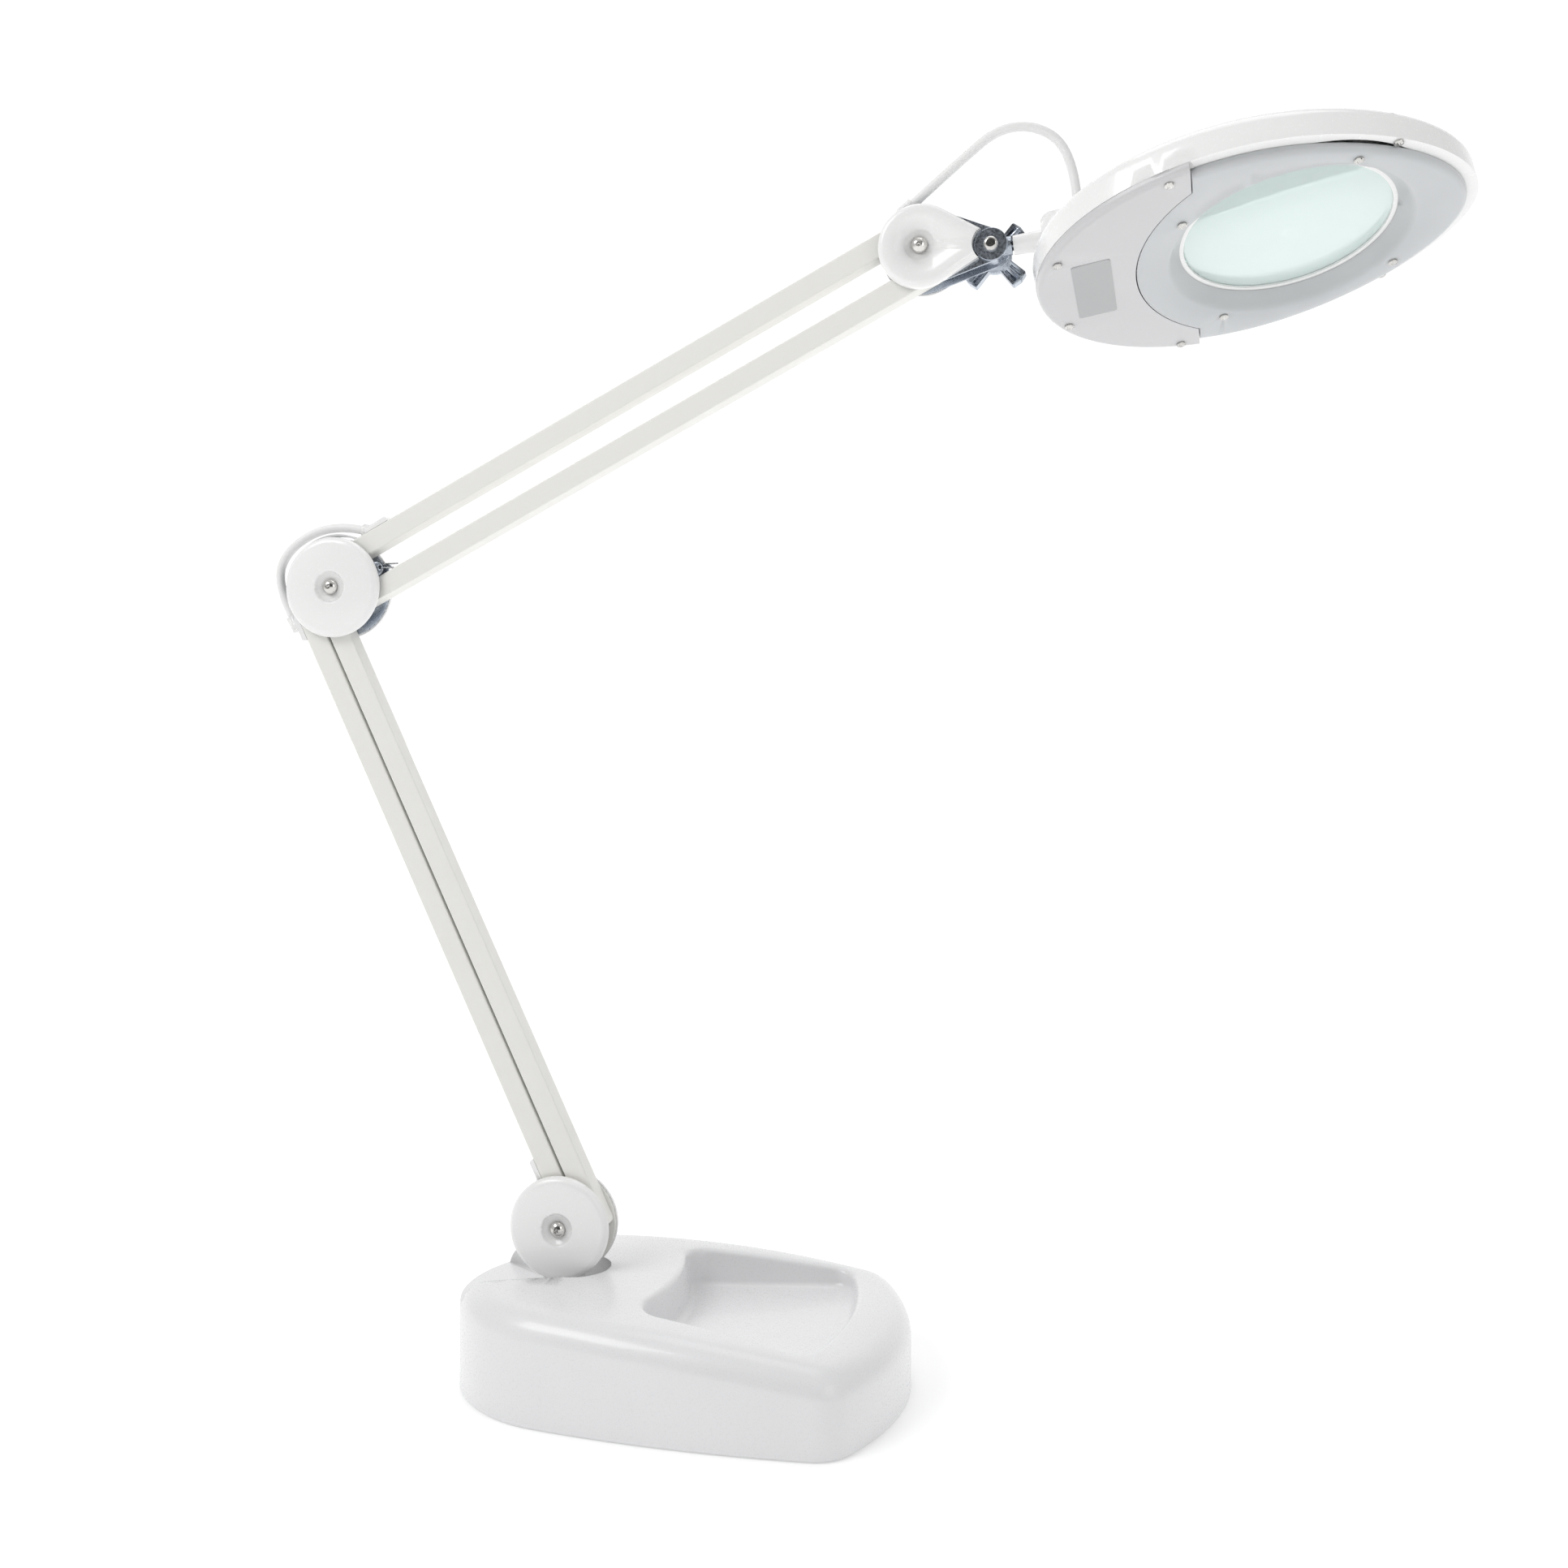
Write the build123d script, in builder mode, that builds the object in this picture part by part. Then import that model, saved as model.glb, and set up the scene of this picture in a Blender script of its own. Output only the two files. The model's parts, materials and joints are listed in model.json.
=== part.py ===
"""Magnifying lamp: a weighted tray base, a two-stage parallel arm and a ring-lit lens head.

Millimetres, +Z up. The underside rests on z = 0, the base swivel turns about the Z axis and
the arm lies in the XZ plane, reaching toward +X. One STEP file is written for each piece.
"""
from build123d import *
import math
import os

os.makedirs("parts", exist_ok=True)

# ---------------------------------------------------------------- fits
RUN = 0.08                # radial clearance of a running fit
SEAT = 0.03               # radial clearance of a seated pin or bush
OPEN = 0.45               # radial play of the two closing pivots
GAP = 0.3                 # plain gap between neighbouring pieces

# ---------------------------------------------------------------- base
base_rear_x = 25.0        # centre of the round rear end
base_rear_r = 84.0
base_corner_x = 178.0     # front corners before rounding
base_half = 91.0
base_front_x = 205.0
base_corner_r = 24.0
base_lift = 1.2           # lower edge of the cover above the table
crown_top = 64.0
crown_r = 1000.0
base_top_r = 17.0
base_wall = 3.0
tray_floor = 38.0
tray_rear_x = 59.0
tray_rear_half = 57.0
tray_bulge = 10.0         # how far the rear rim bows into the tray
tray_side_x = 162.0
tray_front_half = 73.0
tray_front_x = 174.0
tray_draft = 8.0
tray_corner_r = 15.0
tray_floor_r = 5.0
tray_rim_r = 3.5
slot_floor = 50.0
slot_half = 22.0
slot_front = 6.0
slot_flare = 0.305
ballast_thick = 15.0
plate_thick = 2.5
pad_thick = 1.5
boss_r = 5.0
boss_spots = [(-22, 48), (-22, -48), (74, 79), (74, -79), (170, 66), (170, -66)]

# ---------------------------------------------------------------- arm
bar = 12.6                # square tube
bar_wall = 1.0
bar_edge_r = 0.9
pin_r = 2.5
pin_head_r = 4.0
pin_head = 1.2
plate_in = 6.8            # inner face of the metal side plates, from the middle plane
plate_t = 1.5
plate_r = 29.2
cap_r = 30.2
cap_rim = 1.5
cap_rise = 5.5
cap_round = 4.5
cap_wall = 1.6
pillar_r = 2.9            # screw pillar inside a cap
dimple_r = 8.9
dimple_deep = 1.6
screw_head_r = 4.65
screw_head = 3.4
screw_r = 2.0
joint_cap_r = 23.7        # teardrop cap at the head bracket
joint_tail_r = 9.8
joint_tail_x = 28.0
notch_r = 10.2

pivot_h = 88.0            # height of the base bracket centre
lower_angle = 115.2       # degrees above +X
lower_len = 407.6
upper_angle = 27.47
upper_len = 393.9
pair_gap = 15.6           # spacing of the lower arm pivots
lift_low = 13.7           # upper arm pivots below and above the centre line
lift_high = 13.5
ahead = 8.0               # upper arm pivots ahead of the elbow centre

# ---------------------------------------------------------------- head
tilt_angle = 10.5         # head plane above the horizontal along the arm
roll_angle = 17.4         # head plane turned about its own length
rod_angle = 5.5
reach_to_knuckle = 39.6
drop_to_knuckle = -0.9
lens_ahead = 155.5        # knuckle to lens centre, along the head
lens_below = 27.5         # knuckle to lens plane
head_x = -27.0            # widest station of the head outline
head_rear = 109.0
head_half = 90.0
head_front = 124.0
front_full_side = 0.50    # fullness of the front outline toward its sides and its nose
front_full_nose = 0.46
rim_h = -8.0
top_h = 12.0
top_r = 9.0
shell_wall = 2.2
hump_x = -127.0
hump_top = 33.0
hump_half = 14.0
under_h = -13.0
lens_r = 60.0
lens_edge = 3.0
lens_sag = 4.6
view_r = 56.5
seat_r = 60.4
lip_gap = 0.8             # lens edge to the lip above it
retainer_low = -3.7
retainer_high = -2.4
cone_top = -4.0
well_r = 63.0
seam_x = 6.0
seam_r = 88.0
seam_step = -50.0
board_in = 66.5
board_out = 77.5
led_ring_r = 72.0
led_count = 48
ring_screw_r = 70.0
ring_screw_at = [37, 121, 217, 297]
cover_screw_at = [(-61, 80), (-61, -80), (-122, 32), (-122, -32)]
rim_screw_at = [(52, 61.5), (52, -61.5)]
small_screw_r = 1.3
small_head_r = 2.5
rod_r = 3.0
bolt_r = 2.9
knuckle_r = 8.0
knob_y = 14.1
hub_y = 9.7
hub_r = 8.8
bolt_end = 19.5
bolt_head_r = 4.2
bolt_head = 3.1
knob_thick = 7.5
wing_r = 21.0
wing_root = 3.6
wing_tip = 5.2
wire_run = 8.0
cord_r = 2.65


# ---------------------------------------------------------------- frames and helpers
def polar(angle, distance):
    """Point at a distance along a direction given in degrees above +X."""
    return (distance * math.cos(math.radians(angle)), distance * math.sin(math.radians(angle)))


def plus(p, q):
    """Sum of two points of the arm plane."""
    return (p[0] + q[0], p[1] + q[1])


def side(p, y=0.0, turn=0.0):
    """Plane across the arm through p: sketch x runs at the turn angle, normal toward -Y."""
    a = math.radians(turn)
    return Plane(origin=(p[0], y, p[1]), x_dir=(math.cos(a), 0, math.sin(a)), z_dir=(0, -1, 0))


def radial(p):
    """Half-section plane through p: sketch x is the radius, sketch y the distance toward -Y."""
    return Plane(origin=(p[0], 0, p[1]), x_dir=(1, 0, 0), z_dir=(0, 0, -1))


def cross_axis(p):
    """Axis through p, square to the arm plane."""
    return Axis((p[0], 0, p[1]), (0, -1, 0))


base_c = (0.0, pivot_h)
low_rear_base = plus(base_c, (6.3, 3.1))
low_front_base = plus(low_rear_base, (pair_gap, 0))
low_rear_elbow = plus(low_rear_base, polar(lower_angle, lower_len))
low_front_elbow = plus(low_front_base, polar(lower_angle, lower_len))
elbow_c = plus(low_rear_elbow, (23.3, 6.0))
fore = polar(upper_angle, ahead)
up_low_elbow = plus(plus(elbow_c, fore), polar(upper_angle - 90, lift_low))
up_high_elbow = plus(plus(elbow_c, fore), polar(upper_angle + 90, lift_high))
up_low_head = plus(up_low_elbow, polar(upper_angle, upper_len))
up_high_head = plus(up_high_elbow, polar(upper_angle, upper_len))
bracket_c = plus(elbow_c, polar(upper_angle, ahead + upper_len))
knuckle_c = plus(bracket_c, (reach_to_knuckle, drop_to_knuckle))

ct, st = math.cos(math.radians(tilt_angle)), math.sin(math.radians(tilt_angle))
cr, sr = math.cos(math.radians(roll_angle)), math.sin(math.radians(roll_angle))
head_u = Vector(ct, 0, st)
head_n = Vector(-st * cr, sr, ct * cr)
head_v = head_n.cross(head_u)
knuckle_p = Vector(knuckle_c[0], 0, knuckle_c[1])
lens_c = knuckle_p + head_u * lens_ahead - head_n * lens_below
head = Plane(origin=lens_c, x_dir=head_u, z_dir=head_n)
head_mid = Plane(origin=lens_c, x_dir=head_u, z_dir=head_v * -1)
head_up = Axis(lens_c, head_n)
rod_dir = Vector(math.cos(math.radians(rod_angle)), 0, math.sin(math.radians(rod_angle)))
rod = Plane(origin=knuckle_p, x_dir=(0, 1, 0), z_dir=rod_dir)

nodes = {}


def both_sides(part):
    """The part and its mirror image across the arm plane, as one group of solids."""
    with BuildPart() as pair:
        add(part)
        mirror(about=Plane.XZ)
    return pair


def far_side(part):
    """Mirror image of a near-side part."""
    with BuildPart() as other:
        add(part)
        mirror(about=Plane.XZ, mode=Mode.REPLACE)
    return other


# ---------------------------------------------------------------- base
def base_block(inset, bottom, top=None):
    """Solid of the base body drawn in by inset; a flat top replaces the crown when given."""
    with BuildPart() as block:
        with BuildSketch(Plane.XY.offset(bottom)) as plan:
            with BuildLine():
                rear = CenterArc((base_rear_x, 0), base_rear_r - inset, 100, 160)
                far = TangentArc(rear @ 0, (base_corner_x, base_half - inset), tangent=(rear % 0) * -1)
                near = TangentArc(rear @ 1, (base_corner_x, inset - base_half), tangent=rear % 1)
                ThreePointArc(far @ 1, (base_front_x - inset, 0), near @ 1)
            make_face()
            fillet(plan.vertices().sort_by(Axis.X)[-2:], base_corner_r - inset)
        if top is None:
            extrude(amount=90)
            with Locations((0, 0, crown_top - crown_r)):
                Sphere(crown_r - inset, mode=Mode.INTERSECT)
            fillet(block.faces().sort_by(Axis.Z)[-1].edges(), base_top_r - inset)
        else:
            extrude(amount=top - bottom)
    return block.part


def tray_block(grow):
    """Space of the tray, or its outer skin when grow is positive."""
    inset = 3.0 - grow
    with BuildPart() as block:
        with BuildSketch(Plane.XY.offset(tray_floor - grow)) as plan:
            with BuildLine():
                ThreePointArc((tray_rear_x + inset, inset - tray_rear_half),
                              (tray_rear_x + tray_bulge + inset, 0),
                              (tray_rear_x + inset, tray_rear_half - inset))
                Line((tray_rear_x + inset, tray_rear_half - inset),
                     (tray_side_x - inset, tray_front_half - inset))
                ThreePointArc((tray_side_x - inset, tray_front_half - inset),
                              (tray_front_x - inset, 0),
                              (tray_side_x - inset, inset - tray_front_half))
                Line((tray_side_x - inset, inset - tray_front_half),
                     (tray_rear_x + inset, inset - tray_rear_half))
            make_face()
            fillet(plan.vertices(), tray_corner_r - inset)
        extrude(amount=45, taper=-tray_draft)
        fillet(block.faces().sort_by(Axis.Z)[0].edges(), tray_floor_r)
    return block.part


def slot_block(grow):
    """Space around the swivel bracket, open to the rear, or its outer skin."""
    r = slot_half + grow
    with BuildPart() as block:
        with BuildSketch(Plane.XY.offset(slot_floor - grow)):
            with BuildLine():
                nose = CenterArc((slot_front, 0), r, -90, 180)
                Polyline(nose @ 1, (-75, r + 81 * slot_flare), (-75, -r - 81 * slot_flare), nose @ 0)
            make_face()
        extrude(amount=40)
    return block.part


def rim_edges(part, space):
    """Edges where the base's crown meets the walls of a space cut into it."""
    crown = base_block(0, base_lift).faces()
    walls = space.faces()
    return [e for e in part.edges() if e.center().Z > tray_floor + tray_floor_r
            and all(min(f.distance_to(e @ s) for f in group) < 0.02
                    for group in (walls, crown) for s in (0.3, 0.7))]


with BuildPart() as skins:
    add(tray_block(base_wall))
    add(slot_block(base_wall))
    with BuildSketch(Plane.XY.offset(20)):
        Circle(13)
    extrude(amount=32)
    with BuildSketch(Plane.XY.offset(4.2)):
        with Locations(*boss_spots):
            Circle(boss_r)
    extrude(amount=60)
    add(base_block(0.2, 2.0), mode=Mode.INTERSECT)

with BuildPart() as base_cover:
    add(base_block(0, base_lift))
    add(base_block(base_wall, 0), mode=Mode.SUBTRACT)
    add(skins.part)
    add(tray_block(0), mode=Mode.SUBTRACT)
    add(slot_block(0), mode=Mode.SUBTRACT)
    with BuildSketch(Plane.XY.offset(10)):
        Circle(9 + SEAT)
    extrude(amount=60, mode=Mode.SUBTRACT)
    with BuildSketch(Plane.XY.offset(4)):
        with Locations(*boss_spots):
            Circle(screw_r + SEAT)
    extrude(amount=11, mode=Mode.SUBTRACT)
    fillet(rim_edges(base_cover, tray_block(0)), tray_rim_r)
nodes["base_cover"] = base_cover

with BuildPart() as base_plate:
    add(base_block(base_wall + GAP, pad_thick, pad_thick + plate_thick))
    with BuildSketch(Plane.XY.offset(0)):
        with Locations(*boss_spots):
            Circle(screw_r + GAP)
    extrude(amount=10, mode=Mode.SUBTRACT)
nodes["base_plate"] = base_plate

with BuildPart() as ballast:
    z0 = pad_thick + plate_thick
    add(base_block(base_wall + 5, z0, z0 + ballast_thick))
    with BuildSketch(Plane.XY.offset(0)):
        Circle(14)
        with Locations(*boss_spots):
            Circle(boss_r + 1.2)
    extrude(amount=40, mode=Mode.SUBTRACT)
nodes["ballast"] = ballast

with BuildPart() as base_pad:
    add(base_block(base_wall + 1.5, 0, pad_thick))
    with BuildSketch(Plane.XY.offset(-1)):
        with Locations(*boss_spots):
            Circle(pin_head_r + 0.8)
    extrude(amount=5, mode=Mode.SUBTRACT)
nodes["base_pad"] = base_pad

with BuildPart() as plate_screws:
    with Locations(*[(x, y, pad_thick - 1.2) for x, y in boss_spots]):
        Cylinder(pin_head_r, 1.2, align=(Align.CENTER, Align.CENTER, Align.MIN))
    with Locations(*[(x, y, pad_thick - 0.2) for x, y in boss_spots]):
        Cylinder(screw_r, 12, align=(Align.CENTER, Align.CENTER, Align.MIN))
nodes["plate_screws"] = plate_screws

with BuildPart() as spigot_bush:
    with Locations((0, 0, 20)):
        Cylinder(9, 31, align=(Align.CENTER, Align.CENTER, Align.MIN))
    with Locations((0, 0, slot_floor)):
        Cylinder(15, 2, align=(Align.CENTER, Align.CENTER, Align.MIN))
    with Locations((0, 0, 35)):
        Cylinder(6 + RUN, 60, mode=Mode.SUBTRACT)
nodes["spigot_bush"] = spigot_bush

# ---------------------------------------------------------------- swivel bracket
with BuildPart() as swivel_bracket:
    with BuildSketch(side(base_c, plate_in - 0.05)) as web:
        Circle(plate_r - 0.6)
        with Locations((8, 10)):
            Rectangle(46, 56, mode=Mode.SUBTRACT)
        fillet(web.vertices(), 1.2)
    extrude(amount=2 * plate_in - 0.1)
    with Locations((0, 0, 52.3)):
        Cylinder(12.5, 5, align=(Align.CENTER, Align.CENTER, Align.MIN))
    with Locations((0, 0, 57)):
        Box(20, 2 * plate_in - 0.1, 5, align=(Align.CENTER, Align.CENTER, Align.MIN))
    with Locations((0, 0, 50)):
        Cylinder(6 + SEAT, 17, align=(Align.CENTER, Align.CENTER, Align.MIN), mode=Mode.SUBTRACT)
    with BuildSketch(side(base_c, 10)):
        with Locations((-21, 8), (12, -22)):
            Circle(screw_r + SEAT)
    extrude(amount=20, mode=Mode.SUBTRACT)
nodes["swivel_bracket"] = swivel_bracket

with BuildPart() as spigot:
    with Locations((0, 0, 16.5)):
        Cylinder(6, 50.2, align=(Align.CENTER, Align.CENTER, Align.MIN))
    with Locations((0, 0, 18.9)):
        Cylinder(6.5, 1.2, mode=Mode.SUBTRACT)
        Cylinder(5.2, 1.2)
    chamfer(spigot.faces().sort_by(Axis.Z)[0].edges(), 0.8)
nodes["spigot"] = spigot

with BuildPart() as spigot_clip:
    with BuildSketch(Plane.XY.offset(18.4)):
        Circle(8.6)
        Circle(5.25, mode=Mode.SUBTRACT)
        with Locations((6, 0)):
            Rectangle(12, 6, mode=Mode.SUBTRACT)
    extrude(amount=1.0)
nodes["spigot_clip"] = spigot_clip


# ---------------------------------------------------------------- plates, caps, pins
def side_plate(c, outline, pins, bores):
    """Near-side metal plate with seated pin holes and plain bores given as (point, radius)."""
    with BuildPart() as plate:
        with BuildSketch(side(c, -plate_in)):
            outline()
            for p in pins:
                with Locations((p[0] - c[0], p[1] - c[1])):
                    Circle(pin_r + SEAT, mode=Mode.SUBTRACT)
            for p, r in bores:
                with Locations((p[0] - c[0], p[1] - c[1])):
                    Circle(r, mode=Mode.SUBTRACT)
        extrude(amount=plate_t)
    return plate


def round_cap(c):
    """Near-side round cap: thin dome with a dimple and a screw pillar."""
    y0 = plate_in + plate_t
    with BuildPart() as cap:
        with BuildSketch(radial(c)):
            with BuildLine():
                Polyline((screw_r + SEAT, y0), (pillar_r, y0), (pillar_r, y0 + 2.6), (10.6, y0 + 3.9),
                         (cap_r - 5, y0 + 3.1), (cap_r - cap_wall, y0 + 1.6), (cap_r - cap_wall, y0),
                         (cap_r, y0), (cap_r, y0 + cap_rim))
                shoulder = RadiusArc((cap_r, y0 + cap_rim), (cap_r - 3.7, y0 + cap_rise - 1.1), -cap_round)
                dome = RadiusArc(shoulder @ 1, (dimple_r + 1.2, y0 + cap_rise), -150)
                Polyline(dome @ 1, (dimple_r + 0.4, y0 + cap_rise - 0.2),
                         (dimple_r, y0 + cap_rise - 0.8),
                         (dimple_r - 0.4, y0 + cap_rise - dimple_deep),
                         (screw_r + SEAT, y0 + cap_rise - dimple_deep), (screw_r + SEAT, y0))
            make_face()
        revolve(axis=cross_axis(c))
    return cap


def two_circles(r1, q, r2):
    """Round outline from a circle at the sketch origin to a second circle at q."""
    spread = math.degrees(math.acos((r1 - r2) / math.hypot(*q)))
    aim = math.degrees(math.atan2(q[1], q[0]))
    corners = [polar(aim + spread, r1), plus(q, polar(aim + spread, r2)),
               plus(q, polar(aim - spread, r2)), polar(aim - spread, r1)]
    with BuildSketch() as outline:
        Circle(r1)
        with Locations(q):
            Circle(r2)
        Polygon(*corners, align=None)
    return outline.sketch


def teardrop(grow):
    """Outline of the head-bracket cap in the current sketch."""
    add(two_circles(joint_cap_r + grow, (joint_tail_x, 0), joint_tail_r + grow))
    with Locations((reach_to_knuckle, drop_to_knuckle)):
        Circle(notch_r - grow, mode=Mode.SUBTRACT)


def cap_screw(c):
    """Near-side domed screw seated in a cap dimple."""
    y1 = plate_in + plate_t + cap_rise - dimple_deep
    with BuildPart() as screw:
        with BuildSketch(radial(c)):
            with BuildLine():
                Polyline((0, plate_in + 0.1), (screw_r, plate_in + 0.1), (screw_r, y1), (screw_head_r, y1),
                         (screw_head_r, y1 + 0.7))
                dome = RadiusArc((screw_head_r, y1 + 0.7), (1.5, y1 + screw_head), -5.2)
                Polyline(dome @ 1, (1.5, y1 + 1.5), (0, y1 + 1.5), (0, plate_in + 0.1))
            make_face()
        revolve(axis=cross_axis(c))
    return screw


def pivot_pins(points):
    """Plain pins through both plates with a flat head outside each plate."""
    y0 = plate_in + plate_t
    with BuildPart() as pins:
        for p in points:
            with Locations(side(p)):
                Cylinder(pin_r, 2 * y0 + 1)
            with Locations(side(p, -y0 - pin_head / 2), side(p, y0 + pin_head / 2)):
                Cylinder(pin_head_r, pin_head)
    return pins


def disc():
    """Round plate outline in the current sketch."""
    Circle(plate_r)


def elbow_disc():
    """Round plate with a notched ear that hooks the balance wires."""
    Circle(plate_r)
    with Locations(polar(21, 29.5)):
        Circle(4.2)
    with Locations(polar(21, 32.2)):
        Circle(1.3, mode=Mode.SUBTRACT)


def bracket_drop():
    """Head-bracket plate: round end and a tail round the knuckle."""
    add(two_circles(joint_cap_r - 1.0, (reach_to_knuckle, drop_to_knuckle), 9.0))


screw_hole = screw_r + SEAT
rivet_spots = [plus(base_c, (-21, 8)), plus(base_c, (12, -22))]
base_plate_near = side_plate(base_c, disc, [low_rear_base, low_front_base],
                             [(base_c, screw_hole)] + [(p, screw_hole) for p in rivet_spots])
nodes["base_plate_near"] = base_plate_near
nodes["base_plate_far"] = far_side(base_plate_near.part)
with BuildPart() as bracket_rivets:
    for p in rivet_spots:
        with Locations(side(p)):
            Cylinder(screw_r, 2 * (plate_in + plate_t) + 1)
        with Locations(side(p, -plate_in - plate_t - 0.5), side(p, plate_in + plate_t + 0.5)):
            Cylinder(3.4, 1.0)
nodes["bracket_rivets"] = bracket_rivets
nodes["base_pins"] = pivot_pins([low_rear_base, low_front_base])
base_cap_near = round_cap(base_c)
nodes["base_cap_near"] = base_cap_near
nodes["base_cap_far"] = far_side(base_cap_near.part)
nodes["base_cap_screws"] = both_sides(cap_screw(base_c).part)

elbow_pins_at = [low_rear_elbow, low_front_elbow, up_low_elbow, up_high_elbow]
elbow_plate_near = side_plate(elbow_c, elbow_disc, elbow_pins_at, [(elbow_c, screw_hole)])
nodes["elbow_plate_near"] = elbow_plate_near
nodes["elbow_plate_far"] = far_side(elbow_plate_near.part)
nodes["elbow_pins"] = pivot_pins(elbow_pins_at)
elbow_cap_near = round_cap(elbow_c)
nodes["elbow_cap_near"] = elbow_cap_near
nodes["elbow_cap_far"] = far_side(elbow_cap_near.part)
nodes["elbow_cap_screws"] = both_sides(cap_screw(elbow_c).part)

head_plate_near = side_plate(bracket_c, bracket_drop, [up_low_head, up_high_head],
                             [(bracket_c, screw_hole), (knuckle_c, bolt_r + SEAT)])
nodes["head_plate_near"] = head_plate_near
nodes["head_plate_far"] = far_side(head_plate_near.part)
nodes["head_pins"] = pivot_pins([up_low_head, up_high_head])
with BuildPart() as joint_cap_near:
    y0 = plate_in + plate_t
    with BuildSketch(side(bracket_c, -y0)):
        add(two_circles(joint_cap_r, (joint_tail_x, 0), joint_tail_r))
    extrude(amount=cap_rise)
    fillet(joint_cap_near.faces().sort_by(Axis.Y)[0].edges(), 3.6)
    with BuildSketch(side(knuckle_c, -y0)):
        Circle(notch_r)
    extrude(amount=cap_rise, mode=Mode.SUBTRACT)
    with BuildSketch(side(bracket_c, -y0)):
        teardrop(-cap_wall)
        Circle(pillar_r + 1, mode=Mode.SUBTRACT)
    extrude(amount=cap_rise - 3.2, mode=Mode.SUBTRACT)
    with BuildSketch(side(bracket_c, -y0 - cap_rise + dimple_deep)):
        Circle(dimple_r - 0.3)
    extrude(amount=5, mode=Mode.SUBTRACT)
    with BuildSketch(side(bracket_c, 0)):
        Circle(screw_hole)
    extrude(amount=20, mode=Mode.SUBTRACT)
nodes["joint_cap_near"] = joint_cap_near
nodes["joint_cap_far"] = far_side(joint_cap_near.part)
nodes["joint_cap_screws"] = both_sides(cap_screw(bracket_c).part)


# ---------------------------------------------------------------- bars
def arm_bar(p, q, open_end):
    """Square tube between the pivots p and q with round ends; the q hole is open on request."""
    length = math.dist(p, q)
    angle = math.degrees(math.atan2(q[1] - p[1], q[0] - p[0]))
    mid = ((p[0] + q[0]) / 2, (p[1] + q[1]) / 2)
    with BuildPart() as tube:
        with BuildSketch(side(mid, bar / 2, angle)):
            SlotCenterToCenter(length, bar)
        extrude(amount=bar)
        fillet(tube.edges().filter_by_position(Axis.Y, -bar / 2 - 0.1, -bar / 2 + 0.1), bar_edge_r)
        fillet(tube.edges().filter_by_position(Axis.Y, bar / 2 - 0.1, bar / 2 + 0.1), bar_edge_r)
        with Locations(side(mid, 0, angle)):
            Box(length + 40, bar - 2 * bar_wall, bar - 2 * bar_wall, mode=Mode.SUBTRACT)
        with BuildSketch(side(mid, 20, angle)):
            with Locations((-length / 2, 0)):
                Circle(pin_r + RUN)
            with Locations((length / 2, 0)):
                Circle(pin_r + (OPEN if open_end else RUN))
        extrude(amount=40, mode=Mode.SUBTRACT)
    return tube


def balance_spring(p, angle, start, length):
    """Coil spring lying inside a bar, from start along the direction angle, with end hooks."""
    a = plus(p, polar(angle, start))
    ahead_x, ahead_z = polar(angle, 1)
    with BuildPart() as coil:
        with BuildLine() as path:
            Helix(3.4, length, 3.4, center=(a[0], 0, a[1]), direction=(ahead_x, 0, ahead_z))
        with BuildSketch(Plane(origin=path.line @ 0, z_dir=path.line % 0)):
            Circle(0.6)
        sweep()
    return coil


nodes["lower_rear_bar"] = arm_bar(low_rear_base, low_rear_elbow, False)
nodes["lower_front_bar"] = arm_bar(low_front_base, low_front_elbow, True)
nodes["upper_low_bar"] = arm_bar(up_low_elbow, up_low_head, False)
nodes["upper_high_bar"] = arm_bar(up_high_elbow, up_high_head, True)
nodes["lower_rear_spring"] = balance_spring(low_rear_base, lower_angle, 40, 68)
nodes["upper_low_spring"] = balance_spring(up_low_elbow, upper_angle, 40, 68)


# cord routes: (x, y, z) of each corner from the elbow centre and from the head bracket centre
elbow_way = [(16.0, 0, 34.9), (-5.4, 0, 39.5), (-35, 0, 24.4), (-41.8, 0, 2.6), (-31, 0, -17)]
head_way = [(-5.2, 0, 26.6), (19.5, 0, 47.6), (46.1, 0, 68.7), (74.4, 3, 63.6), (86, 8.5, 40)]
grommet_u = -106.0
grommet_rise = 2.4


def lifted(centre, way):
    """Route points in space from offsets about a centre of the arm plane."""
    return [Vector(centre[0] + x, y, centre[1] + z) for x, y, z in way]


elbow_route = lifted(elbow_c, elbow_way)
grommet_top = lens_c + head_u * grommet_u + head_n * (hump_top + grommet_rise + 0.1)
head_route = lifted(bracket_c, head_way) + [grommet_top]


def cord_clip(p, angle, start, ends):
    """Saddle on the far edge of a bar, and a sleeve for each cord end (point, next point)."""
    at = plus(p, polar(angle, start))
    with BuildPart() as clip:
        with BuildSketch(side(at, bar / 2 - 0.3, angle)) as shape:
            with Locations((0, bar / 2 + 1.4)):
                Trapezoid(17, 3.2, 70)
            fillet(shape.vertices(), 0.6)
        extrude(amount=bar - 0.6)
        for end, after in ends:
            with Locations(Plane(origin=end, z_dir=end - after)):
                Cylinder(cord_r + 1.3, 9, align=(Align.CENTER, Align.CENTER, Align.MIN))
        with Locations(side(at, 0, angle)):
            Box(90, bar + 0.1, 40, mode=Mode.SUBTRACT)
    return clip.part


with BuildPart() as lower_clips:
    add(cord_clip(low_rear_elbow, lower_angle, -17, [(elbow_route[-1], elbow_route[-2])]))
    add(cord_clip(low_rear_base, lower_angle, 34, []))
nodes["lower_clips"] = lower_clips
with BuildPart() as upper_clips:
    add(cord_clip(up_high_elbow, upper_angle, 32.5, [(elbow_route[0], elbow_route[1])]))
    add(cord_clip(up_high_head, upper_angle, -2, [(head_route[0], head_route[1])]))
nodes["upper_clips"] = upper_clips

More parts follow.
